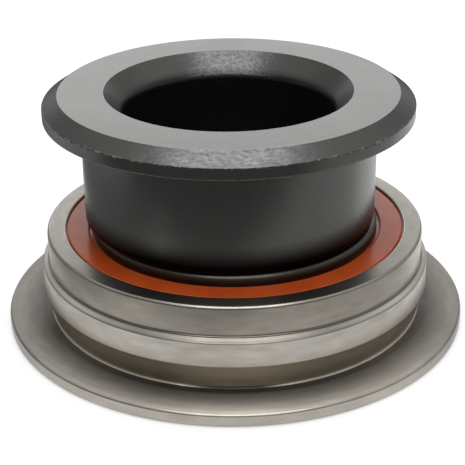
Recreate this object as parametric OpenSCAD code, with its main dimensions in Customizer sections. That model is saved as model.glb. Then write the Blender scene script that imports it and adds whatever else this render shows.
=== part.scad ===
// Pull-type clutch release bearing standing on its pull flange: a flanged guide sleeve floats
// sideways in a sealed angular-contact ball bearing, so that the bearing can centre itself.
// Millimetres, +Z up along the bearing's axis, z = 0 under the pull flange.

/* [Guide sleeve] */
// Diameter of the bore that slides on the gearbox nose tube
bore_d = 41.6; // [36:0.1:48]
// Depth of the grease recess inside the bore
recess_depth = 0.5; // [0.2:0.1:1]
// Length of the grease recess
recess_h = 18; // [8:0.5:22]
// Distance of the grease recess from the sleeve's lower end
recess_up = 9.5; // [6:0.5:14]
// Wall of the spigot that carries the bearing
spigot_wall = 2.5; // [2:0.1:4]
// Length of the spigot beyond the retaining ring
tail_h = 0.8; // [0.5:0.1:1.4]
// Height of the spigot's end above the plane of the pull flange
tail_up = 0.7; // [0.2:0.1:2]
// How far the barrel stands out over the inner ring
barrel_step = 0.35; // [0:0.05:1]
// Length of the barrel between the fork flange and the bearing
barrel_h = 22; // [14:0.1:34]
// Radius of the edge round the barrel's foot
foot_r = 1.4; // [0.3:0.1:1.5]
// How far the fork flange stands out from the barrel
fork_w = 7.25; // [5:0.05:12]
// Height of the straight rim of the fork flange
fork_rim_h = 2.4; // [1.2:0.1:6]
// Height of the bevel above that rim
fork_bevel_h = 2.1; // [0.8:0.1:3]
// Radial width of the bevel
fork_bevel_w = 3.1; // [0.8:0.1:4]
// Radial width of the lead-in cone
lead_w = 3.7; // [2:0.1:6]
// Depth of the lead-in cone
lead_h = 4.25; // [2:0.05:8]
// Radius where the lead-in cone runs out into the bore
lead_r = 2.5; // [0.5:0.1:4]
// Sideways place of the sleeve off the bearing's axis
sleeve_x = -0.9; // [-1:0.05:1]

/* [Self-centring parts] */
// Clearance all round between the spigot and the inner ring
float_gap = 1.5; // [1.2:0.1:2.5]
// Clearance all round between the spigot and the loose washer and spring
washer_gap = 1.1; // [1:0.1:1.4]
// Clearance between the barrel's foot and the inner ring
foot_gap = 0.2; // [0.1:0.05:0.6]
// Depth of the spring chamber in the barrel's foot
chamber_h = 2.4; // [1.6:0.1:4]
// Clearance all round between the wave spring and its chamber
chamber_gap = 1.2; // [1.1:0.1:1.6]
// Radial width of the wave spring
spring_w = 2.2; // [1.5:0.1:3]
// Thickness of the wave spring's strip
spring_t = 0.6; // [0.3:0.05:1]
// Number of waves in the wave spring
spring_waves = 4; // [3:1:6]
// Radial width of the thrust washer
washer_w = 4.4; // [3:0.1:5]
// Thickness of the thrust washer
washer_t = 1.3; // [0.8:0.1:2]
// Thickness of the retaining ring
clip_t = 1.4; // [1:0.1:2]
// Depth of the groove that the retaining ring sits in
clip_depth = 0.7; // [0.4:0.1:1]
// How far the retaining ring stands out of its groove
clip_stand = 2.9; // [2.4:0.1:4]
// Width of the opening in the retaining ring
clip_open = 9; // [6:0.5:14]
// Radius of the lug at each end of the retaining ring
lug_r = 2.2; // [1.8:0.1:2.6]
// Diameter of the plier hole in each lug
lug_hole_d = 2; // [1.2:0.1:2.4]

/* [Balls, cage and tracks] */
// Ball diameter
ball_d = 7.938; // [6.5:0.001:9]
// Number of balls
ball_count = 16; // [12:1:17]
// Contact angle of the balls
contact_angle = 30; // [15:1:40]
// Radius of each ball track as a share of the ball diameter
track_share = 0.52; // [0.515:0.005:0.54]
// Wall of the inner ring under its track
inner_wall = 3.031; // [2:0.001:5]
// Depth of the inner track on the side above the balls
inner_low = 1.17; // [0.6:0.01:1.6]
// Depth of the inner track at the load shoulder below the balls
inner_high = 2.17; // [1.5:0.01:2.4]
// Depth of the outer track at the load shoulder above the balls
outer_high = 1.97; // [1.4:0.01:2.2]
// Depth of the outer track on the side where the balls go in
outer_low = 0.27; // [0.1:0.01:0.6]
// Radial thickness of the cage
cage_t = 2.6; // [1.6:0.1:3]
// Height of the cage's rims above and below its pockets
cage_rim = 1.231; // [0.8:0.001:2]
// Clearance between the cage and each seal
cage_gap = 0.6; // [0.3:0.05:1]

/* [Outer ring and pull flange] */
// Wall of the upper band behind the outer track
outer_wall = 2.431; // [1.8:0.001:4]
// How far the inner ring stands up above the outer ring
land_up = 1.4; // [0.8:0.1:3]
// Radius of the inner ring's upper edge, which shows under the barrel
land_edge_r = 1; // [0.3:0.1:1.2]
// How far the lower band stands out from the upper band at its lower edge
lower_w = 1.35; // [0.8:0.05:2.4]
// How far the lower band stands out at its top
lower_top_w = 1.25; // [0.5:0.05:1.3]
// Height of the lower band
lower_h = 4.75; // [3:0.05:5]
// Height of the slope from the lower band up to the upper one
flare_h = 0.7; // [0.4:0.05:1.4]
// Height of the neck between the pull flange and the lower band
neck_h = 5.3; // [4:0.1:6]
// How far the neck's root lies inside the upper band
neck_in = 0.15; // [0:0.05:0.4]
// Thickness of the pull flange
pull_t = 2.7; // [2:0.1:4]
// How far the pull flange stands out beyond the lower band
pull_w = 7.45; // [4:0.05:12]
// Depth of the relief round the neck's root, which lets a ring lie flat on the pull flange
relief_t = 0.1; // [0.05:0.05:0.5]
// How far that relief reaches out beyond the lower band
relief_w = 0.4; // [0.1:0.05:1]

/* [Seals] */
// How far each seal's seat is cut back behind the shoulder that it stands on
seat_step = 0.7; // [0.4:0.05:1]
// Depth of the upper seal's face below the outer ring's top
seal_drop = 0.3; // [0.1:0.05:0.5]
// Height of the lower seal's face above the inner ring's lower face
seal_up = 0.3; // [0.1:0.05:0.8]
// Thickness of each seal at its rim
seal_t = 1.4; // [1.2:0.1:1.8]
// Radial width of each seal's flexible lip
lip_w = 0.7; // [0.4:0.05:1]
// Radius of the bead that snaps each seal into its ring
bead_r = 0.4; // [0.25:0.05:0.5]
// Width of the open gap between each seal's face and its ring
mouth_gap = 0.3; // [0.1:0.05:0.5]
// Depth of that gap
mouth_h = 0.5; // [0.4:0.05:0.6]

/* [Clearances and edges] */
// Clearance of each ball in its tracks
ball_gap = 0.04; // [0.02:0.01:0.1]
// Clearance of each ball in its cage pocket
pocket_gap = 0.2; // [0.1:0.05:0.3]
// Clearance under a seal's lip
lip_gap = 0.05; // [0.02:0.01:0.1]
// Clearance of pressed or snapped pieces
fit_gap = 0.02; // [0.01:0.01:0.05]
// Radius of broken edges
edge_r = 0.3; // [0.1:0.05:0.4]
// Radius of the crisp edges round the fork flange's top face
crisp_r = 0.12; // [0.05:0.01:0.3]
// Radius of the outer ring's top edge and of the pull flange's rim
rim_r = 0.6; // [0.3:0.05:0.8]
// Radius where a wall meets a flange
root_r = 0.6; // [0.2:0.05:0.8]

/* [Hidden] */
$fn = 128;
spring_steps = 72;
// shares of a rounding's radius by which its area and its arc run past the lines that they join
area_past = 0.02;
arc_past = 0.004;
function ball_name(i) = str("ball_", i < 10 ? "0" : "", i);

// radii from the bore outwards
bore_r = bore_d / 2;
spigot_r = bore_r + spigot_wall;
clip_groove_r = spigot_r - clip_depth;
clip_r = spigot_r + clip_stand;
washer_in_r = spigot_r + washer_gap;
washer_r = washer_in_r + washer_w;
spring_r = washer_in_r + spring_w;
chamber_r = spring_r + chamber_gap;
inner_bore_r = spigot_r + float_gap;
ball_r = ball_d / 2;
inner_track_r = inner_bore_r + inner_wall;
pitch_r = inner_track_r + ball_r;
outer_track_r = pitch_r + ball_r;
land_r = inner_track_r + inner_low;
inner_shoulder_r = inner_track_r + inner_high;
outer_shoulder_r = outer_track_r - outer_high;
relief_r = outer_track_r - outer_low;
upper_seat_r = outer_shoulder_r + seat_step;
lower_seat_r = relief_r + seat_step;
band_r = outer_track_r + outer_wall;
lower_r = band_r + lower_w;
lower_top_r = band_r + lower_top_w;
neck_r = band_r - neck_in;
pull_r = lower_r + pull_w;
barrel_r = land_r + barrel_step;
fork_r = barrel_r + fork_w;
track_r = ball_d * track_share;

// heights from the floor up
clip_z = tail_up + tail_h;
washer_z = clip_z + clip_t;
inner_z = washer_z + washer_t;
lower_seal_z = inner_z + seal_up;
cage_z = lower_seal_z + seal_t + cage_gap;
ball_z = cage_z + cage_rim + pocket_gap + ball_r;
cage_h = 2 * (ball_z - cage_z);
seal_top = cage_z + cage_h + cage_gap + seal_t;
outer_h = seal_top + seal_drop;
inner_top = outer_h + land_up;
foot_z = inner_top + foot_gap;
chamber_top = foot_z + chamber_h;
fork_z = foot_z + barrel_h;
bevel_z = fork_z + fork_rim_h;
top_z = bevel_z + fork_bevel_h;
recess_z = tail_up + recess_up;
lower_z = pull_t + neck_h;
lower_top_z = lower_z + lower_h;
flare_z = lower_top_z + flare_h;

// depth of a seal's bead below the seal's face, in the middle of the rim that is left under the gap
bead_drop = (mouth_h + seal_t) / 2;

// how far a track's centre lies from the ball's centre, along the line of contact
track_shift = track_r - ball_r - ball_gap;
contact = [cos(contact_angle), sin(contact_angle)];

// the area between a corner and the arc that rounds it; the area and the arc both run a little past
// the lines that meet in the corner, so that no edges lie on each other
module corner(before, at, after, r) {
    u = (before - at) / norm(before - at);
    w = (after - at) / norm(after - at);
    half = acos(u * w) / 2;
    reach = r / tan(half);
    out = -(u + w) / norm(u + w);
    middle = at - out * r / sin(half);
    tip = at + out * r * area_past;
    difference() {
        polygon([tip, tip + u * reach, middle, tip + w * reach]);
        translate(middle + out * r * arc_past) circle(r);
    }
}

function turns_left(a, b, c) = (b.x - a.x) * (c.y - b.y) > (b.y - a.y) * (c.x - b.x);

// an outline, counter-clockwise, of [radius, height, rounding] corners
module outline(corners) {
    n = len(corners);
    at = [for (c = corners) [c.x, c.y]];
    rounded = [for (i = [0:n - 1]) if (corners[i].z > 0) i];
    difference() {
        union() {
            polygon(at);
            for (i = rounded)
                if (!turns_left(at[(i + n - 1) % n], at[i], at[(i + 1) % n]))
                    corner(at[(i + n - 1) % n], at[i], at[(i + 1) % n], corners[i].z);
        }
        for (i = rounded)
            if (turns_left(at[(i + n - 1) % n], at[i], at[(i + 1) % n]))
                corner(at[(i + n - 1) % n], at[i], at[(i + 1) % n], corners[i].z);
    }
}

// the sleeve: fork flange, barrel with the spring chamber in its foot, spigot with the clip groove
module guide_sleeve() {
    recess_r = bore_r + recess_depth;
    color("dimgray") translate([sleeve_x, 0, 0]) rotate_extrude() outline([
        [bore_r, tail_up, edge_r],
        [spigot_r, tail_up, edge_r],
        [spigot_r, clip_z, 0],
        [clip_groove_r, clip_z, 0],
        [clip_groove_r, clip_z + clip_t, 0],
        [spigot_r, clip_z + clip_t, 0],
        [spigot_r, chamber_top, edge_r],
        [chamber_r, chamber_top, edge_r],
        [chamber_r, foot_z, 0],
        [barrel_r, foot_z, foot_r],
        [barrel_r, fork_z, root_r],
        [fork_r, fork_z, edge_r],
        [fork_r, bevel_z, edge_r],
        [fork_r - fork_bevel_w, top_z, crisp_r],
        [bore_r + lead_w, top_z, crisp_r],
        [bore_r, top_z - lead_h, lead_r],
        [bore_r, recess_z + recess_h + recess_depth, 0],
        [recess_r, recess_z + recess_h, 0],
        [recess_r, recess_z, 0],
        [bore_r, recess_z - recess_depth, 0]
    ]);
}

// the inner ring, its track open upwards and its load shoulder below the balls
module inner_ring() {
    color("silver") rotate_extrude() difference() {
        outline([
            [inner_bore_r, inner_z, edge_r],
            [inner_shoulder_r, inner_z, edge_r],
            [inner_shoulder_r, ball_z, 0],
            [land_r, ball_z, 0],
            [land_r, inner_top, land_edge_r],
            [inner_bore_r, inner_top, edge_r]
        ]);
        translate([pitch_r, ball_z] + contact * track_shift) circle(track_r);
    }
}

// the outer ring in one piece with its pull flange, the load shoulder above the balls
module outer_ring() {
    color("lightgray") rotate_extrude() difference() {
        outline([
            [lower_seat_r, 0, rim_r],
            [pull_r, 0, rim_r],
            [pull_r, pull_t, rim_r],
            [lower_r + relief_w, pull_t, 0],
            [lower_r + relief_w, pull_t - relief_t, 0],
            [neck_r, pull_t - relief_t, edge_r],
            [lower_r, lower_z, rim_r],
            [lower_top_r, lower_top_z, edge_r],
            [band_r, flare_z, 0],
            [band_r, outer_h, rim_r],
            [upper_seat_r, outer_h, edge_r],
            [upper_seat_r, seal_top - seal_t, 0],
            [outer_shoulder_r, seal_top - seal_t, 0],
            [outer_shoulder_r, ball_z, 0],
            [relief_r, ball_z, 0],
            [relief_r, lower_seal_z + seal_t, 0],
            [lower_seat_r, lower_seal_z + seal_t, 0]
        ]);
        translate([pitch_r, ball_z] - contact * track_shift) circle(track_r);
        translate([upper_seat_r, seal_top - bead_drop]) circle(bead_r);
        translate([lower_seat_r, lower_seal_z + bead_drop]) circle(bead_r);
        translate([band_r, flare_z + edge_r / 2]) circle(edge_r);
    }
}

// a seal's section with its face at height 0: a stepped rim with a bead outside, a thin lip inside
module seal_section(lip_r, seat_r) {
    rim = seat_r - fit_gap;
    face_r = lip_r + lip_w;
    lip_t = seal_t / 4;
    lip_top = -seal_t / 2;
    union() {
        outline([
            [lip_r, lip_top - lip_t, 0],
            [face_r + lip_t, lip_top - lip_t, 0],
            [rim - 2 * lip_w, lip_top - lip_t, 0],
            [rim - lip_w, -seal_t, 0],
            [rim, -seal_t, 0],
            [rim, -mouth_h, 0],
            [rim - mouth_gap, -mouth_h, 0],
            [rim - mouth_gap, 0, edge_r],
            [face_r, 0, edge_r],
            [face_r, lip_top, 0],
            [lip_r, lip_top, 0]
        ]);
        translate([rim, -bead_drop]) circle(bead_r - fit_gap);
    }
}

// the seal that shows between the barrel and the outer ring
module upper_seal() {
    color("chocolate") rotate_extrude() translate([0, seal_top])
        seal_section(land_r + lip_gap, upper_seat_r);
}

// the seal on the engine side, the other way up
module lower_seal() {
    color("chocolate") rotate_extrude() translate([0, lower_seal_z]) mirror([0, 1])
        seal_section(inner_shoulder_r + lip_gap, lower_seat_r);
}

// the one-piece window cage with a round pocket for each ball
module ball_cage() {
    pocket_r = ball_r + pocket_gap;
    color("wheat") difference() {
        rotate_extrude() outline([
            [pitch_r - cage_t / 2, cage_z, edge_r],
            [pitch_r + cage_t / 2, cage_z, edge_r],
            [pitch_r + cage_t / 2, cage_z + cage_h, edge_r],
            [pitch_r - cage_t / 2, cage_z + cage_h, edge_r]
        ]);
        for (i = [1:ball_count])
            rotate([0, 0, ball_angle(i)]) translate([pitch_r, 0, ball_z]) rotate([0, 90, 0])
                cylinder(h = 2 * cage_t, r = pocket_r, center = true);
    }
}

function ball_angle(i) = (i - 1) * 360 / ball_count;

// one ball in its place on the pitch circle
module ball(i) {
    color("gainsboro") rotate([0, 0, ball_angle(i)]) translate([pitch_r, 0, ball_z]) sphere(ball_r);
}

// a strip bent into waves that just reach the chamber's roof and the inner ring
module wave_spring() {
    n = spring_steps;
    low = inner_top + fit_gap;
    rise = chamber_top - inner_top - 2 * fit_gap - spring_t;
    function place(i, r, up) = [
        r * cos(i * 360 / n),
        r * sin(i * 360 / n),
        low + up + rise * (1 + cos(i * spring_waves * 360 / n)) / 2
    ];
    rows = [for (i = [0:n - 1])
        for (c = [[washer_in_r, 0], [spring_r, 0], [spring_r, spring_t], [washer_in_r, spring_t]])
            place(i, c.x, c.y)];
    sides = [[0, 1], [1, 2], [2, 3], [3, 0]];
    faces = [for (i = [0:n - 1]) for (s = sides) for (half = [0, 1])
        let (a = 4 * i, b = 4 * ((i + 1) % n))
            half == 0 ? [a + s[0], a + s[1], b + s[1]] : [a + s[0], b + s[1], b + s[0]]];
    color("slategray") translate([sleeve_x, 0, 0]) polyhedron(rows, faces);
}

// the washer that carries the pull from the retaining ring to the inner ring
module thrust_washer() {
    color("darkgray") translate([sleeve_x, 0, 0]) rotate_extrude() outline([
        [washer_in_r, washer_z, edge_r],
        [washer_r, washer_z, edge_r],
        [washer_r, inner_z, edge_r],
        [washer_in_r, inner_z, edge_r]
    ]);
}

// the open retaining ring in the spigot's groove, with a plier hole in each end
module retaining_ring() {
    lug_place = clip_r - lug_r / 2;
    lug_turn = asin((clip_open / 2 + lug_r) / lug_place);
    color("gray") translate([sleeve_x, 0, clip_z]) linear_extrude(clip_t) difference() {
        union() {
            circle(clip_r);
            for (side = [-1, 1])
                rotate(side * lug_turn) translate([lug_place, 0]) circle(lug_r);
        }
        circle(clip_groove_r + fit_gap);
        translate([0, -clip_open / 2]) square([2 * clip_r, clip_open]);
        for (side = [-1, 1])
            rotate(side * lug_turn) translate([lug_place, 0]) circle(d = lug_hole_d);
    }
}

guide_sleeve();
inner_ring();
outer_ring();
upper_seal();
lower_seal();
ball_cage();
wave_spring();
thrust_washer();
retaining_ring();
for (i = [1:ball_count])
    ball(i);
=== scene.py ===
"""Looks of the clutch release bearing: fine turned pieces, finishes with painted light and shade in places,
studio light and camera.
"""

import math

import bpy
import numpy as np
from mathutils import Matrix, Vector


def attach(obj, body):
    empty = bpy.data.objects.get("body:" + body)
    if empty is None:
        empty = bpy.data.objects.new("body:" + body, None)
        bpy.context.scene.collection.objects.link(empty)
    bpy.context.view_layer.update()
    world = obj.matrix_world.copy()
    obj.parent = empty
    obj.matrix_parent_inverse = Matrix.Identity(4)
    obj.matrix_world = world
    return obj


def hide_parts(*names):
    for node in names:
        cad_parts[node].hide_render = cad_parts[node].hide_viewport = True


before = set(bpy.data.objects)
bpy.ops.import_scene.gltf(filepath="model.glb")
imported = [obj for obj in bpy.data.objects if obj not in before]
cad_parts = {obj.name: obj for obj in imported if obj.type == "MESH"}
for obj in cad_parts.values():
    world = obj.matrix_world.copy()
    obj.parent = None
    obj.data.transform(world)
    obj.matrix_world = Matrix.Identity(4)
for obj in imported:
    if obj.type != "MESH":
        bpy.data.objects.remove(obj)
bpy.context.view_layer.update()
scene = bpy.context.scene
scene.view_settings.view_transform = "Standard"

MM = 0.001


# sizes in mm, as in the part's source

# roundings
EDGE_R = 0.3
CRISP_R = 0.12
RIM_R = 0.6
ROOT_R = 0.6
FOOT_R = 1.4
LEAD_R = 2.5
LAND_EDGE_R = 1.0

# seals
SEAL_T = 1.4
LIP_W = 0.7
LIP_GAP = 0.05
FIT_GAP = 0.02
MOUTH_GAP = 0.3
MOUTH_H = 0.5
SEAT_STEP = 0.7
BEAD_R = 0.4
BEAD_DROP = (MOUTH_H + SEAL_T) / 2

# balls and cage
BALL_D = 7.938
BALL_R = BALL_D / 2
BALL_GAP = 0.04
CONTACT_ANGLE = math.radians(30.0)
TRACK_R = BALL_D * 0.52
POCKET_GAP = 0.2
CAGE_RIM = 1.231
CAGE_GAP = 0.6

# radii from the bore outwards
BORE_R = 41.6 / 2
RECESS_DEPTH = 0.5
RECESS_R = BORE_R + RECESS_DEPTH
LEAD_TOP_R = BORE_R + 3.7
SPIGOT_R = BORE_R + 2.5
CLIP_GROOVE_R = SPIGOT_R - 0.7
WASHER_IN_R = SPIGOT_R + 1.1
WASHER_R = WASHER_IN_R + 4.4
CHAMBER_R = WASHER_IN_R + 2.2 + 1.2
INNER_BORE_R = SPIGOT_R + 1.5
INNER_TRACK_R = INNER_BORE_R + 3.031
PITCH_R = INNER_TRACK_R + BALL_R
OUTER_TRACK_R = PITCH_R + BALL_R
LAND_R = INNER_TRACK_R + 1.17
INNER_SHOULDER_R = INNER_TRACK_R + 2.17
OUTER_SHOULDER_R = OUTER_TRACK_R - 1.97
RELIEF_R = OUTER_TRACK_R - 0.27
UPPER_SEAT_R = OUTER_SHOULDER_R + SEAT_STEP
LOWER_SEAT_R = RELIEF_R + SEAT_STEP
BAND_R = OUTER_TRACK_R + 2.431
NECK_R = BAND_R - 0.15
LOWER_R = BAND_R + 1.35
LOWER_TOP_R = BAND_R + 1.25
ROOT_END_R = LOWER_R + 0.4
PULL_R = LOWER_R + 7.45
BARREL_R = LAND_R + 0.35
FORK_R = BARREL_R + 7.25
TOP_R = FORK_R - 3.1

# heights of the sleeve and the bearing
TAIL_Z = 0.7
CLIP_Z = TAIL_Z + 0.8
WASHER_Z = CLIP_Z + 1.4
INNER_Z = WASHER_Z + 1.3
LOWER_SEAL_Z = INNER_Z + 0.3
CAGE_Z = LOWER_SEAL_Z + SEAL_T + CAGE_GAP
BALL_Z = CAGE_Z + CAGE_RIM + POCKET_GAP + BALL_R
UPPER_SEAL_Z = 2 * BALL_Z - CAGE_Z + CAGE_GAP + SEAL_T
OUTER_Z = UPPER_SEAL_Z + 0.3
INNER_TOP_Z = OUTER_Z + 1.4
FOOT_Z = INNER_TOP_Z + 0.2
CHAMBER_Z = FOOT_Z + 2.4
FORK_Z = FOOT_Z + 22.0
BEVEL_Z = FORK_Z + 2.4
TOP_Z = BEVEL_Z + 2.1
LEAD_Z = TOP_Z - 4.25
RECESS_Z = TAIL_Z + 9.5
RECESS_TOP_Z = RECESS_Z + 18.0

# heights of the pull flange and the bands
PULL_Z = 2.7
ROOT_Z = PULL_Z - 0.1
LOWER_Z = PULL_Z + 5.3
LOWER_TOP_Z = LOWER_Z + 4.75
FLARE_Z = LOWER_TOP_Z + 0.7

# the sleeve's axis stands off the bearing's axis
SLEEVE_X = -0.9


# turned pieces: the solids' sections, with every arc fine and every normal exact

SEGMENTS = 384
ARC_STEP = math.radians(9.0)
SHORTEST_RUN = 1e-6


def rounded(corners):
    """Points and arcs of a section, each rounded corner replaced by its arc."""
    items = []
    for i, corner in enumerate(corners):
        if len(corner) == 4 or corner[2] == 0:
            items.append(corner)
            continue
        at = Vector(corner[:2])
        u = (Vector(corners[i - 1][:2]) - at).normalized()
        w = (Vector(corners[(i + 1) % len(corners)][:2]) - at).normalized()
        half = u.angle(w) / 2
        reach = corner[2] / math.tan(half)
        middle = at + (u + w).normalized() * corner[2] / math.sin(half)
        side = 1 if u.x * w.y < u.y * w.x else -1
        items += [(*(at + u * reach), 0), (*middle, corner[2], side), (*(at + w * reach), 0)]
    return items


def runs(corners):
    """Short straight runs of a section: both ends and the outward direction at each."""
    items = rounded(corners)
    out = []
    for i, item in enumerate(items):
        if len(item) == 4:
            continue
        after = items[(i + 1) % len(items)]
        if len(after) == 3:
            step = Vector(after[:2]) - Vector(item[:2])
            if step.length > SHORTEST_RUN:
                way = Vector((step.y, -step.x)).normalized()
                out.append((item[:2], after[:2], way, way))
            continue
        r, z, radius, side = after
        end = items[(i + 2) % len(items)]
        first = math.atan2(item[1] - z, item[0] - r)
        last = math.atan2(end[1] - z, end[0] - r)
        sweep = side * ((side * (last - first)) % math.tau)
        n = max(2, math.ceil(abs(sweep) / ARC_STEP))
        angles = [first + sweep * k / n for k in range(n + 1)]
        ways = [Vector((math.cos(angle), math.sin(angle))) for angle in angles]
        spots = [(r + radius * way.x, z + radius * way.y) for way in ways]
        out += [(spots[k], spots[k + 1], side * ways[k], side * ways[k + 1]) for k in range(n)]
    return out


def turn(node, body, corners, axis_x=0.0):
    """A turned piece in place of a node of the frame."""
    section = runs(corners)
    count = len(section)
    angle = np.arange(SEGMENTS) * math.tau / SEGMENTS
    cos, sin = np.cos(angle), np.sin(angle)
    start = np.array([run[0] for run in section]) * MM
    verts = np.empty((count, SEGMENTS, 3))
    verts[:, :, 0] = start[:, :1] * cos + axis_x * MM
    verts[:, :, 1] = start[:, :1] * sin
    verts[:, :, 2] = start[:, 1:]
    ring, spoke = np.meshgrid(np.arange(count), np.arange(SEGMENTS), indexing="ij")
    next_ring, next_spoke = (ring + 1) % count, (spoke + 1) % SEGMENTS
    corner_ring = np.stack((ring, ring, next_ring, next_ring), axis=-1)
    corner_spoke = np.stack((spoke, next_spoke, next_spoke, spoke), axis=-1)
    faces = corner_ring * SEGMENTS + corner_spoke
    ways = np.array([[tuple(run[k]) for k in (2, 2, 3, 3)] for run in section])[:, None, :, :]
    outward = ways[..., 0]
    upward = np.broadcast_to(ways[..., 1], corner_spoke.shape)
    normals = np.stack((outward * cos[corner_spoke], outward * sin[corner_spoke], upward), axis=-1)
    mesh = bpy.data.meshes.new(node + "_turned")
    mesh.from_pydata(verts.reshape(-1, 3).tolist(), [], faces.reshape(-1, 4).tolist())
    mesh.polygons.foreach_set("use_smooth", np.ones(count * SEGMENTS, dtype=bool))
    mesh.normals_split_custom_set(normals.reshape(-1, 3).tolist())
    piece = bpy.data.objects.new(node + "_turned", mesh)
    scene.collection.objects.link(piece)
    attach(piece, body)
    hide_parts(node)
    return piece


# each corner is radius, height and rounding; an arc is its middle, radius and 1 outward or -1 hollow


def seal_section(land_r, seat_r, face_z, up):
    """A seal's section from its lip on a land to its rim in a seat, with its face at the given height."""
    lip = land_r + LIP_GAP
    rim = seat_r - FIT_GAP
    bead = BEAD_R - FIT_GAP
    lip_top = -SEAL_T / 2
    lip_foot = lip_top - SEAL_T / 4
    corners = [
        (lip, lip_foot, 0), (rim - 2 * LIP_W, lip_foot, 0), (rim - LIP_W, -SEAL_T, 0), (rim, -SEAL_T, 0),
        (rim, -BEAD_DROP - bead, 0), (rim, -BEAD_DROP, bead, 1), (rim, -BEAD_DROP + bead, 0),
        (rim, -MOUTH_H, 0), (rim - MOUTH_GAP, -MOUTH_H, 0), (rim - MOUTH_GAP, 0, EDGE_R),
        (lip + LIP_W, 0, EDGE_R), (lip + LIP_W, lip_top, 0), (lip, lip_top, 0),
    ]
    placed = [(corner[0], face_z + up * corner[1], *corner[2:]) for corner in corners]
    return placed if up > 0 else placed[::-1]


def bead_hollow(seat_r, z):
    """The hollow for a seal's bead, from its upper end to its lower end."""
    return [(seat_r, z + BEAD_R, 0), (seat_r, z, BEAD_R, -1), (seat_r, z - BEAD_R, 0)]


def track(side):
    """A ball track, its middle shifted along the line of contact, on the inner (1) or outer (-1) ring."""
    shift = side * (TRACK_R - BALL_R - BALL_GAP)
    r = PITCH_R + shift * math.cos(CONTACT_ANGLE)
    z = BALL_Z + shift * math.sin(CONTACT_ANGLE)
    return (r, z, TRACK_R, -1)


def arc_end(arc, r, up):
    """Where an arc ends at a radius of the section, above (1) or below (-1) its middle."""
    return (r, arc[1] + up * math.sqrt(arc[2] ** 2 - (r - arc[0]) ** 2), 0)


def line_end(start, toward, arc):
    """Where a straight line ends on an arc."""
    begin = Vector(start)
    way = (Vector(toward) - begin).normalized()
    to_middle = Vector(arc[:2]) - begin
    along = to_middle.dot(way)
    aside = to_middle - way * along
    return (*(begin + way * (along - math.sqrt(arc[2] ** 2 - aside.length_squared))), 0)


INNER_TRACK = track(1)
OUTER_TRACK = track(-1)
LEDGE_GROOVE = (BAND_R, FLARE_Z + EDGE_R / 2, EDGE_R, -1)

# the spigot's root is left sharp, clear of the wave spring
SLEEVE = [
    (BORE_R, TAIL_Z, EDGE_R), (SPIGOT_R, TAIL_Z, EDGE_R), (SPIGOT_R, CLIP_Z, 0), (CLIP_GROOVE_R, CLIP_Z, 0),
    (CLIP_GROOVE_R, WASHER_Z, 0), (SPIGOT_R, WASHER_Z, 0), (SPIGOT_R, CHAMBER_Z, 0),
    (CHAMBER_R, CHAMBER_Z, EDGE_R), (CHAMBER_R, FOOT_Z, 0), (BARREL_R, FOOT_Z, FOOT_R),
    (BARREL_R, FORK_Z, ROOT_R), (FORK_R, FORK_Z, EDGE_R), (FORK_R, BEVEL_Z, EDGE_R),
    (TOP_R, TOP_Z, CRISP_R), (LEAD_TOP_R, TOP_Z, CRISP_R), (BORE_R, LEAD_Z, LEAD_R),
    (BORE_R, RECESS_TOP_Z + RECESS_DEPTH, 0), (RECESS_R, RECESS_TOP_Z, 0), (RECESS_R, RECESS_Z, 0),
    (BORE_R, RECESS_Z - RECESS_DEPTH, 0),
]
OUTER_RING = [
    (LOWER_SEAT_R, 0, RIM_R), (PULL_R, 0, RIM_R), (PULL_R, PULL_Z, RIM_R), (ROOT_END_R, PULL_Z, 0),
    (ROOT_END_R, ROOT_Z, 0), (NECK_R, ROOT_Z, EDGE_R), (LOWER_R, LOWER_Z, RIM_R),
    (LOWER_TOP_R, LOWER_TOP_Z, EDGE_R),
    line_end((LOWER_TOP_R, LOWER_TOP_Z), (BAND_R, FLARE_Z), LEDGE_GROOVE), LEDGE_GROOVE,
    arc_end(LEDGE_GROOVE, BAND_R, 1), (BAND_R, OUTER_Z, RIM_R), (UPPER_SEAT_R, OUTER_Z, EDGE_R),
    *bead_hollow(UPPER_SEAT_R, UPPER_SEAL_Z - BEAD_DROP), (UPPER_SEAT_R, UPPER_SEAL_Z - SEAL_T, 0),
    (OUTER_SHOULDER_R, UPPER_SEAL_Z - SEAL_T, 0), arc_end(OUTER_TRACK, OUTER_SHOULDER_R, 1), OUTER_TRACK,
    arc_end(OUTER_TRACK, RELIEF_R, -1), (RELIEF_R, LOWER_SEAL_Z + SEAL_T, 0),
    (LOWER_SEAT_R, LOWER_SEAL_Z + SEAL_T, 0), *bead_hollow(LOWER_SEAT_R, LOWER_SEAL_Z + BEAD_DROP),
]
INNER_RING = [
    (INNER_BORE_R, INNER_Z, EDGE_R), (INNER_SHOULDER_R, INNER_Z, EDGE_R),
    arc_end(INNER_TRACK, INNER_SHOULDER_R, -1), INNER_TRACK, arc_end(INNER_TRACK, LAND_R, 1),
    (LAND_R, INNER_TOP_Z, LAND_EDGE_R), (INNER_BORE_R, INNER_TOP_Z, EDGE_R),
]
WASHER = [
    (WASHER_IN_R, WASHER_Z, EDGE_R), (WASHER_R, WASHER_Z, EDGE_R),
    (WASHER_R, INNER_Z, EDGE_R), (WASHER_IN_R, INNER_Z, EDGE_R),
]
UPPER_SEAL = seal_section(LAND_R, UPPER_SEAT_R, UPPER_SEAL_Z, 1)
LOWER_SEAL = seal_section(INNER_SHOULDER_R, LOWER_SEAT_R, LOWER_SEAL_Z, -1)

pieces = {
    "guide_sleeve": turn("guide_sleeve", "sleeve", SLEEVE, SLEEVE_X),
    "outer_ring": turn("outer_ring", "outer_ring", OUTER_RING),
    "inner_ring": turn("inner_ring", "inner_ring", INNER_RING),
    "upper_seal": turn("upper_seal", "outer_ring", UPPER_SEAL),
    "lower_seal": turn("lower_seal", "outer_ring", LOWER_SEAL),
    "thrust_washer": turn("thrust_washer", "float_washers", WASHER, SLEEVE_X),
}


# shader graphs


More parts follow.
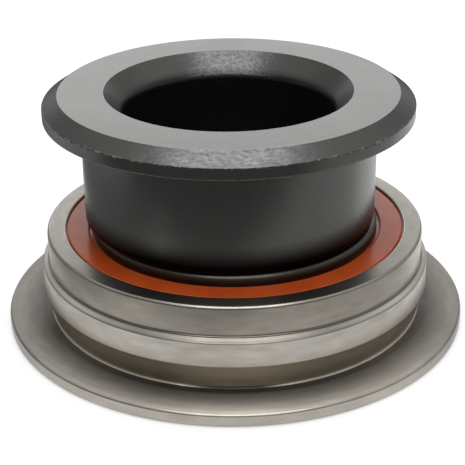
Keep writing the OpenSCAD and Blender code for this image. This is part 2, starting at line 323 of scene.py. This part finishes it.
class Graph:
    """A node tree written as calls, where each input takes a socket or a constant."""

    def __init__(self, tree):
        self.tree = tree
        tree.nodes.clear()

    def feed(self, socket, value):
        if isinstance(value, bpy.types.NodeSocket):
            self.tree.links.new(value, socket)
        else:
            socket.default_value = value

    def add(self, kind, inputs=None, **settings):
        node = self.tree.nodes.new(kind)
        for key, value in settings.items():
            setattr(node, key, value)
        for key, value in (inputs or {}).items():
            self.feed(node.inputs[key], value)
        return node

    def math(self, operation, *values, clamp=False):
        node = self.add("ShaderNodeMath", operation=operation, use_clamp=clamp)
        for socket, value in zip(node.inputs, values):
            self.feed(socket, value)
        return node.outputs[0]

    def times(self, product, *factors):
        for factor in factors:
            product = self.math("MULTIPLY", product, factor)
        return product

    def plus(self, total, *others, clamp=False):
        for other in others:
            total = self.math("ADD", total, other, clamp=clamp)
        return total

    def most(self, highest, *others):
        for other in others:
            highest = self.math("MAXIMUM", highest, other)
        return highest

    def span(self, value, low, high, to_low=0.0, to_high=1.0, smooth=False):
        """A value carried from one range to another and held at both ends."""
        node = self.add(
            "ShaderNodeMapRange",
            {"Value": value, "From Min": low, "From Max": high, "To Min": to_low, "To Max": to_high},
            interpolation_type="SMOOTHSTEP" if smooth else "LINEAR",
        )
        return node.outputs[0]

    def steps(self, value, stops, reach):
        """A colour that follows (place, colour) stops, with places up to the given reach."""
        node = self.add("ShaderNodeValToRGB", {0: self.math("DIVIDE", value, reach)})
        ramp = node.color_ramp
        while len(ramp.elements) < len(stops):
            ramp.elements.new(0.5)
        for element, (place, color) in zip(ramp.elements, stops):
            element.position = place / reach
            element.color = (*color, 1.0)
        return node.outputs[0]

    def mix(self, factor, a, b, blend="MIX"):
        """Two colours mixed, through the node's colour sockets: inputs 6 and 7, output 2."""
        node = self.add("ShaderNodeMix", {0: factor, 6: a, 7: b}, data_type="RGBA", blend_type=blend)
        return node.outputs[2]

    def tinted(self, color, *tints):
        for tint in tints:
            color = self.mix(1.0, color, tint, "MULTIPLY")
        return color


class Turned(Graph):
    """A material on a turned piece, with its radius and height in mm and its direction round the axis."""

    def __init__(self, name, axis_x=0.0):
        self.material = bpy.data.materials.new(name)
        self.material.use_nodes = True
        super().__init__(self.material.node_tree)
        metres = self.add("ShaderNodeTexCoord").outputs["Object"]
        scaled = self.add("ShaderNodeVectorMath", {0: metres, "Scale": 1 / MM}, operation="SCALE")
        self.place = scaled.outputs[0]
        x, y, self.height = self.add("ShaderNodeSeparateXYZ", {0: self.place}).outputs
        x = self.math("SUBTRACT", x, axis_x)
        self.radius = self.math("SQRT", self.plus(self.times(x, x), self.times(y, y)))
        # from -1 to 1: left to right, and front to back
        self.side = self.math("DIVIDE", x, self.radius)
        self.depth = self.math("DIVIDE", y, self.radius)
        self.shader = self.add("ShaderNodeBsdfPrincipled")
        output = self.add("ShaderNodeOutputMaterial")
        self.tree.links.new(self.shader.outputs[0], output.inputs["Surface"])

    def set(self, **inputs):
        for key, value in inputs.items():
            self.feed(self.shader.inputs[key.replace("_", " ")], value)

    def spots(self, per_mm, detail=2.0, roughness=0.5):
        """Uneven spots, the same in every direction."""
        inputs = {"Vector": self.place, "Scale": per_mm, "Detail": detail, "Roughness": roughness}
        return self.add("ShaderNodeTexNoise", inputs).outputs[0]

    def marks(self, per_mm, round_scale, detail=2.0):
        """Tool marks: fine along the section and drawn out round the axis."""
        place = {
            0: self.times(self.side, round_scale),
            1: self.times(self.depth, round_scale),
            2: self.times(self.height, per_mm),
        }
        vector = self.add("ShaderNodeCombineXYZ", place).outputs[0]
        inputs = {"Vector": vector, "W": self.times(self.radius, per_mm), "Scale": 1.0, "Detail": detail}
        return self.add("ShaderNodeTexNoise", inputs, noise_dimensions="4D").outputs[0]

    def near(self, value, middle, half):
        """1 close to a radius or height, 0 from the given distance on."""
        away = self.math("ABSOLUTE", self.math("SUBTRACT", value, middle))
        return self.span(away, 0.0, half, 1.0, 0.0, smooth=True)

    def bump(self, height, distance, strength, normal=None):
        inputs = {"Height": height, "Distance": distance * MM, "Strength": strength}
        node = self.add("ShaderNodeBump", inputs)
        if normal is not None:
            self.feed(node.inputs["Normal"], normal)
        return node.outputs[0]

    def round_tangent(self):
        return self.add("ShaderNodeTangent", direction_type="RADIAL", axis="Z").outputs[0]


def grey(level, warm=0.0):
    """A grey, or with some warmth a grey that leans to yellow."""
    return (level, level * (1.0 - 0.07 * warm), level * (1.0 - 0.18 * warm))


def rgb(r, g, b):
    return (r, g, b, 1.0)


# finishes

BARE_METAL_AND_HIGHLIGHT = rgb(0.2, 0.19, 0.18)
LEDGE_HIGHLIGHT = rgb(0.8, 0.77, 0.72)
NO_TINT = rgb(*grey(1.0))
FACE_GLOSS = rgb(*grey(0.5))
BEVEL_GLOSS = rgb(*grey(0.42))
SCUFF_SHEEN_FROM = 0.86  # share of the way to the front or back where the scuffs and painted sheen set in
SCUFF_SHEEN_ALL = 0.97

# tone and painted light and shade of the outer ring by height: pull flange, neck, lower band, ledge and
# upper band
RING_REACH = 20.0
RING_TONE_AND_SHADING = [
    (0.0, grey(0.88)), (PULL_Z - RIM_R, grey(0.88)), (PULL_Z - 0.2, grey(0.9)),
    (PULL_Z - 0.04, grey(0.8)), (PULL_Z + 0.02, grey(0.8)),
    (PULL_Z + 0.3, grey(1.72, 1.0)), (PULL_Z + 2.5, grey(1.6, 1.0)), (LOWER_Z - 0.6, grey(1.0, 1.0)),
    (LOWER_Z - 0.1, grey(0.9, 1.0)), (LOWER_Z + 0.3, grey(0.86)), (LOWER_Z + 2.5, grey(1.0)),
    (LOWER_TOP_Z - 0.15, grey(0.97)), (LOWER_TOP_Z, grey(0.5)), (LOWER_TOP_Z + 0.2, grey(0.4)),
    (LOWER_TOP_Z + 0.3, grey(0.55)), (FLARE_Z + 0.15, grey(0.55)), (FLARE_Z + 0.45, grey(0.65, 0.3)),
    (OUTER_Z - RIM_R, grey(0.62, 0.3)), (OUTER_Z - 0.3, grey(0.8)), (OUTER_Z - 0.1, grey(0.8)),
    (OUTER_Z - 0.02, grey(0.5)),
]
# where the pull flange's face lies; it is rougher than the rest, and the ring's top a little smoother
PULL_FACE = [
    (PULL_Z - 0.2, grey(0.0)), (PULL_Z - 0.04, grey(1.0)),
    (PULL_Z + 0.04, grey(1.0)), (PULL_Z + 0.3, grey(0.0)),
]
RING_ROUGH = [
    (PULL_Z - 0.2, grey(0.0)), (PULL_Z - 0.04, grey(0.1)),
    (PULL_Z + 0.04, grey(0.1)), (PULL_Z + 0.3, grey(0.0)),
    (OUTER_Z - 0.2, grey(0.0)), (OUTER_Z - 0.02, grey(-0.02)),
]
# painted shade and highlight on the pull flange's face in front, by radius from the neck to the rim
PULL_REACH = 50.0
PULL_FRONT_LIGHT_AND_SHADE = [
    (PULL_R - 7.3, grey(0.1)), (PULL_R - 6.3, grey(0.22)), (PULL_R - 5.3, grey(0.28)),
    (PULL_R - 4.0, grey(0.48)), (PULL_R - 2.7, grey(0.79)), (PULL_R - 1.7, grey(1.0)),
    (PULL_R - 0.8, grey(1.5)), (PULL_R - RIM_R, grey(1.4)), (PULL_R - 0.35, grey(1.0)),
]


def black_phosphate():
    """Blackened steel, rubbed on the fork flange's edges, scuffed with a painted sheen on its bevel in
    front and its lead-in behind, with a painted highlight on the lead-in's lip and painted shade at the
    foot and in the bore.
    """
    m = Turned("black_phosphate", SLEEVE_X)
    grain = m.spots(3.0, 3.0, 0.6)
    cloud = m.spots(0.12, 3.0, 0.55)
    lines = m.marks(2.2, 1.6, 3.0)
    mottle = m.marks(1.8, 34.0, 6.0)

    # rubbed edges of the fork flange
    edges = m.plus(m.near(m.height, BEVEL_Z, 0.35), m.times(m.near(m.height, FORK_Z, 0.5), 0.4))
    rubbed = m.times(m.near(m.radius, FORK_R, 0.35), edges, m.span(m.spots(0.9, 4.0, 0.65), 0.48, 0.62))

    # the bevel in front and the lead-in behind carry scuffs and a painted sheen, where they face the light
    bevel = m.times(
        m.span(m.depth, -SCUFF_SHEEN_FROM, -SCUFF_SHEEN_ALL),
        m.span(m.height, BEVEL_Z, BEVEL_Z + 0.3),
        m.span(m.radius, TOP_R - 0.4, TOP_R),
    )
    lead = m.times(
        m.span(m.depth, SCUFF_SHEEN_FROM, SCUFF_SHEEN_ALL),
        m.span(m.radius, LEAD_TOP_R + 0.1, LEAD_TOP_R - 0.3),
        m.span(m.height, LEAD_Z - 0.95, LEAD_Z + 0.05),
    )
    scuffs_and_sheen = m.plus(bevel, lead, clamp=True)
    nicks_and_glints = m.times(scuffs_and_sheen, m.span(m.spots(0.55, 6.0, 0.8), 0.63, 0.66))
    # painted highlight along the lead-in's lower edge, at the back
    lip = m.times(lead, m.near(m.height, LEAD_Z + 0.15, 0.5), m.span(mottle, 0.3, 0.6, 0.1, 0.9))
    wear_and_highlight = m.plus(rubbed, m.most(nicks_and_glints, lip), clamp=True)

    # painted shade: the foot and the bore are darkened, in colour and in gloss
    foot = m.span(m.height, FOOT_Z + FOOT_R, FOOT_Z + 5.8, 0.04, 1.0)
    shade = m.times(foot, m.span(m.radius, BORE_R + 0.4, BORE_R + 1.2, 0.5, 1.0))

    # painted reflection: the top face's gloss is higher in front and lower at the back; the bevel is duller
    # than the face
    top = m.span(m.height, TOP_Z - 0.2, TOP_Z - 0.05)
    face = m.mix(top, FACE_GLOSS, m.span(m.depth, -1.0, 1.0, 0.57, 0.41))
    slope = m.times(m.span(m.height, BEVEL_Z, BEVEL_Z + 0.2), m.span(m.radius, TOP_R - 0.1, TOP_R + 0.1))
    gloss = m.mix(scuffs_and_sheen, m.mix(slope, face, BEVEL_GLOSS), m.span(mottle, 0.3, 0.7, 0.28, 0.72))

    base = m.mix(m.span(cloud, 0.35, 0.65), rgb(0.009, 0.0085, 0.0085), rgb(0.012, 0.0115, 0.011))
    normal = m.bump(grain, 0.012, 0.2)
    normal = m.bump(lines, 0.006, 0.2, normal)
    normal = m.bump(m.times(mottle, scuffs_and_sheen), 0.05, 0.6, normal)
    m.set(
        Base_Color=m.tinted(m.mix(wear_and_highlight, base, BARE_METAL_AND_HIGHLIGHT), shade),
        Roughness=m.plus(m.span(cloud, 0.3, 0.7, 0.275, 0.295), m.span(grain, 0.35, 0.65, -0.015, 0.015)),
        IOR=2.0,
        Specular_IOR_Level=m.times(shade, gloss),
        Specular_Tint=m.mix(scuffs_and_sheen, rgb(1.0, 1.0, 0.95), rgb(1.0, 0.96, 0.97)),
        Normal=normal,
    )
    return m


def turned_steel(name, dark, light, rough, per_mm=3.0, grain=0.008, turn_share=0.35):
    """Steel with tool marks round the axis, uneven between two shades."""
    m = Turned(name)
    lines = m.marks(per_mm, 2.0, 4.0)
    streak = m.marks(per_mm / 4, 9.0, 3.0)
    cloud = m.spots(0.07, 3.0, 0.5)
    m.base = m.tinted(m.mix(m.span(cloud, 0.3, 0.7), dark, light), m.span(streak, 0.3, 0.7, 0.9, 1.1))
    m.rough = m.plus(
        m.span(cloud, 0.3, 0.7, rough - 0.02, rough + 0.02),
        m.span(streak, 0.3, 0.7, 0.02, -0.02),
    )
    m.set(
        Metallic=1.0,
        Base_Color=m.base,
        Roughness=m.rough,
        Anisotropic=turn_share,
        Anisotropic_Rotation=0.25,
        Tangent=m.round_tangent(),
        Normal=m.bump(lines, grain, 0.35),
    )
    return m


def ring_steel():
    """The outer ring's steel, with a finish of its own on each surface, and painted light and shade by
    height, radius and direction round the axis.
    """
    m = turned_steel("ring_steel", rgb(0.52, 0.485, 0.43), rgb(0.57, 0.535, 0.48), 0.3)

    # painted shade on the pull flange's face, deepest towards the neck, in front most, and at both flanks
    front = m.steps(m.radius, PULL_FRONT_LIGHT_AND_SHADE, PULL_REACH)
    behind = m.span(m.radius, ROOT_END_R - 0.15, PULL_R - 2.0, 0.32, 1.0)
    flanks = m.span(m.math("ABSOLUTE", m.side), 0.7, 0.95, 1.0, 0.56, smooth=True)
    face = m.times(m.mix(m.span(m.depth, -0.97, -0.55), front, behind), flanks)
    # painted highlight along the neck's rounded root, everywhere but straight in front
    root_highlight = m.span(m.radius, NECK_R + 0.15, NECK_R + 0.35, 1.5, 0.0)
    root_highlight = m.times(root_highlight, m.span(m.depth, -0.992, -0.965))
    flange = m.span(m.height, PULL_Z + 0.05, PULL_Z + 0.5, 1.0, 0.0)
    shade = m.mix(flange, NO_TINT, m.plus(face, root_highlight))

    # painted highlight on the ledge, everywhere but in front
    ledge = m.times(m.near(m.height, LOWER_TOP_Z + 0.3, 0.45), m.span(m.depth, -0.95, -0.6))
    base = m.tinted(m.base, m.steps(m.height, RING_TONE_AND_SHADING, RING_REACH), shade)
    flat = m.steps(m.height, PULL_FACE, RING_REACH)
    m.set(
        Base_Color=m.mix(ledge, base, LEDGE_HIGHLIGHT),
        Roughness=m.plus(m.rough, m.steps(m.height, RING_ROUGH, RING_REACH)),
        Anisotropic=m.span(flat, 0.0, 1.0, 0.35, 0.85),
        Metallic=m.span(flat, 0.0, 1.0, 1.0, 0.6),
    )
    return m


def seal_rubber():
    """Glossy orange rubber, with painted shade away from the front."""
    m = Turned("seal_rubber")
    cloud = m.spots(0.15, 3.0, 0.5)
    skin = m.spots(2.5, 2.0, 0.5)
    base = m.mix(m.span(cloud, 0.35, 0.65), rgb(0.53, 0.077, 0.013), rgb(0.6, 0.094, 0.018))
    # painted shade: the rubber is darker away from the front
    m.set(
        Base_Color=m.tinted(base, m.span(m.depth, -0.9, -0.3, 1.0, 0.72)),
        Roughness=m.span(skin, 0.3, 0.7, 0.2, 0.27),
        IOR=1.38,
        Normal=m.bump(skin, 0.004, 0.4),
    )
    return m


def cage_nylon():
    """Pale moulded nylon that lets a little light in."""
    m = Turned("cage_nylon")
    cloud = m.spots(0.2, 3.0, 0.5)
    skin = m.spots(1.2, 2.0, 0.5)
    m.set(
        Base_Color=m.mix(cloud, rgb(0.62, 0.55, 0.41), rgb(0.75, 0.69, 0.55)),
        Roughness=m.span(skin, 0.3, 0.7, 0.38, 0.5),
        Subsurface_Weight=0.08,
        Subsurface_Radius=(2.0 * MM, 1.5 * MM, 1.0 * MM),
        Normal=m.bump(skin, 0.01, 0.4),
    )
    return m


RUBBER = seal_rubber()
FINISHES = {
    "guide_sleeve": black_phosphate(),
    "outer_ring": ring_steel(),
    # painted shade: the inner ring's steel is coloured very dark, as it lies in shade under the barrel
    "inner_ring": turned_steel("bearing_steel", rgb(0.09, 0.084, 0.073), rgb(0.115, 0.108, 0.094), 0.36),
    "thrust_washer": turned_steel("washer_steel", rgb(0.24, 0.23, 0.22), rgb(0.34, 0.33, 0.32), 0.36),
    "retaining_ring": turned_steel("clip_steel", rgb(0.06, 0.06, 0.063), rgb(0.11, 0.11, 0.115), 0.34),
    "wave_spring": turned_steel("spring_steel", rgb(0.14, 0.14, 0.15), rgb(0.2, 0.2, 0.215), 0.3),
    "upper_seal": RUBBER,
    "lower_seal": RUBBER,
    "ball_cage": cage_nylon(),
}
BALL_FINISH = turned_steel("ball_steel", rgb(0.6, 0.6, 0.6), rgb(0.66, 0.66, 0.66), 0.07, 0.4, 0.001, 0.0)

for name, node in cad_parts.items():
    mesh = (pieces[name] if name in pieces else node).data
    mesh.materials.clear()
    mesh.materials.append(FINISHES.get(name, BALL_FINISH).material)


# floor: a small white sheet with a painted shadow on the left and painted light at the back and right, and
# beyond its edges a dark tabletop, in metres

FLOOR_HALF = 3.0
FLOOR_Z = -0.05 * MM  # just clear of the face that stands on it
SHEET_FRONT = (0.06, 0.08)
SHEET_RIGHT = (0.12, 0.2)
SHEET_LEFT = (0.16, 0.22)
SHEET_BACK = (0.14, 0.22)
SHADOW_BAND_NEAR = (0.05, 0.07)  # a painted shadow of the object on the left
SHADOW_BAND_FAR = (0.105, 0.13)
CORNER_SHADE = (0.045, 0.085)  # a faint shade on the right
FRONT_TABLE = (0.08, 0.13)
SHEET_LIGHT_GRADE = (0.03, 0.12)  # painted light: the sheet is brighter at the back and on the right

floor_mesh = bpy.data.meshes.new("floor")
floor_corners = [(x * FLOOR_HALF, y * FLOOR_HALF, FLOOR_Z) for x, y in ((-1, -1), (1, -1), (1, 1), (-1, 1))]
floor_mesh.from_pydata(floor_corners, [], [(0, 1, 2, 3)])
floor = bpy.data.objects.new("floor", floor_mesh)
scene.collection.objects.link(floor)

floor_material = bpy.data.materials.new("floor")
floor_material.use_nodes = True
g = Graph(floor_material.node_tree)
path = g.add("ShaderNodeLightPath").outputs
x, y, _ = g.add("ShaderNodeSeparateXYZ", {0: g.add("ShaderNodeTexCoord").outputs["Object"]}).outputs
left = g.times(x, -1.0)
ahead = g.plus(g.times(x, -0.2), g.times(y, -0.98))
corner = g.math("SUBTRACT", x, g.most(g.times(y, 0.5), g.times(y, 1.7)))
# painted shadow of the object on the floor, in a band on the left
shadow_band = g.times(
    g.span(left, *SHADOW_BAND_NEAR, 0.0, 0.85, smooth=True),
    g.span(left, *SHADOW_BAND_FAR, 1.0, 0.3, smooth=True),
)
table_and_shadow = g.most(shadow_band, g.span(corner, *CORNER_SHADE, 0.0, 0.4, smooth=True))
for away, edge in ((ahead, SHEET_FRONT), (x, SHEET_RIGHT), (left, SHEET_LEFT), (y, SHEET_BACK)):
    table_and_shadow = g.most(table_and_shadow, g.span(away, *edge, smooth=True))
# painted light on the sheet, stronger at the back and on the right
white = g.span(g.plus(x, y), *SHEET_LIGHT_GRADE, 0.68, 0.9)
dark = g.span(ahead, *FRONT_TABLE, 0.115, 0.16)
paper = g.add("ShaderNodeBsdfDiffuse", {"Color": g.mix(table_and_shadow, white, dark)})
# the floor is lifted to white where it is seen, and the sheet a little in reflections
seen = g.times(path["Is Camera Ray"], g.span(table_and_shadow, 0.0, 1.0, 0.4, 0.95))
mirrored = g.plus(path["Is Glossy Ray"], path["Is Transmission Ray"], clamp=True)
mirrored = g.times(mirrored, g.span(table_and_shadow, 0.0, 1.0, 0.25, 0.0))
lift = g.add("ShaderNodeEmission", {"Color": rgb(1, 1, 1), "Strength": g.most(seen, mirrored)})
both = g.add("ShaderNodeAddShader", {0: paper.outputs[0], 1: lift.outputs[0]})
g.tree.links.new(both.outputs[0], g.add("ShaderNodeOutputMaterial").inputs["Surface"])
floor_mesh.materials.append(floor_material)


# world: a grey room with a paler ceiling and skirting and a bright window low at the back

WINDOW_LEVEL = 2.3
WINDOW_X = -0.02
WINDOW_SIDES = (0.28, 0.55)
WINDOW_FOOT = (0.11, 0.25)
WINDOW_HEAD = (0.355, 0.435)

world = bpy.data.worlds.new("studio")
scene.world = world
world.use_nodes = True
g = Graph(world.node_tree)
way = g.add("ShaderNodeTexCoord").outputs["Generated"]
x, y, z = g.add("ShaderNodeSeparateXYZ", {0: way}).outputs
window = g.times(
    g.span(y, 0.0, 0.5, smooth=True),
    g.span(g.math("ABSOLUTE", g.math("SUBTRACT", x, WINDOW_X)), *WINDOW_SIDES, 1.0, 0.0, smooth=True),
    g.span(z, *WINDOW_FOOT, smooth=True),
    g.span(z, *WINDOW_HEAD, 1.0, 0.08, smooth=True),
    # brighter towards its head and its left side
    g.span(z, 0.16, 0.38, 0.78, 1.06),
    g.span(x, -0.3, 0.3, 1.05, 0.93),
)
back_wall = g.span(y, -0.5, 0.3, 0.1, 0.24, smooth=True)
right_wall = g.span(x, 0.1, 0.9, 0.0, 0.15, smooth=True)
skirting = g.times(g.span(y, 0.2, 0.7, 0.0, 0.2), g.span(z, 0.06, 0.16, 1.0, 0.0, smooth=True))
ceiling = g.span(z, 0.35, 0.8, 0.0, 0.36, smooth=True)
level = g.plus(back_wall, right_wall, skirting, ceiling, g.times(window, WINDOW_LEVEL))
room = g.add("ShaderNodeBackground", {"Color": rgb(1, 1, 1), "Strength": level}).outputs[0]
g.tree.links.new(room, g.add("ShaderNodeOutputWorld").inputs["Surface"])


# lamps


def softbox(name, at, aim, size, level):
    """A lamp of the given brightness, where 1 is as bright as a white wall."""
    lamp = bpy.data.lights.new(name, "AREA")
    lamp.shape = "RECTANGLE"
    lamp.size, lamp.size_y = size
    lamp.energy = level * math.pi * size[0] * size[1]
    obj = bpy.data.objects.new(name, lamp)
    scene.collection.objects.link(obj)
    obj.location = at
    obj.rotation_euler = (Vector(aim) - Vector(at)).to_track_quat("-Z", "Y").to_euler()
    obj.visible_camera = False


softbox("overhead", at=(0.0, 0.03, 0.62), aim=(0.0, 0.03, 0.0), size=(0.42, 0.54), level=2.3)
softbox("front", at=(0.0, -0.42, 0.56), aim=(0.0, 0.0, 0.025), size=(0.6, 0.36), level=2.2)


# camera, fitted to the photograph's circles; angles in degrees

CAMERA_AT = (0.0, -0.2296, 0.1254)
CAMERA_DOWN = 25.44
CAMERA_ROLL = -0.61
CAMERA_YAW = 0.11
CAMERA_LENS = 95.15
CAMERA_SENSOR = 36.0

camera_data = bpy.data.cameras.new("camera")
camera_data.sensor_width = CAMERA_SENSOR
camera_data.lens = CAMERA_LENS
camera_data.clip_start = 10 * MM
camera = bpy.data.objects.new("camera", camera_data)
scene.collection.objects.link(camera)
scene.camera = camera
camera.matrix_world = (
    Matrix.Translation(CAMERA_AT)
    @ Matrix.Rotation(math.radians(CAMERA_YAW), 4, "Z")
    @ Matrix.Rotation(math.radians(90.0 - CAMERA_DOWN), 4, "X")
    @ Matrix.Rotation(math.radians(CAMERA_ROLL), 4, "Z")
)
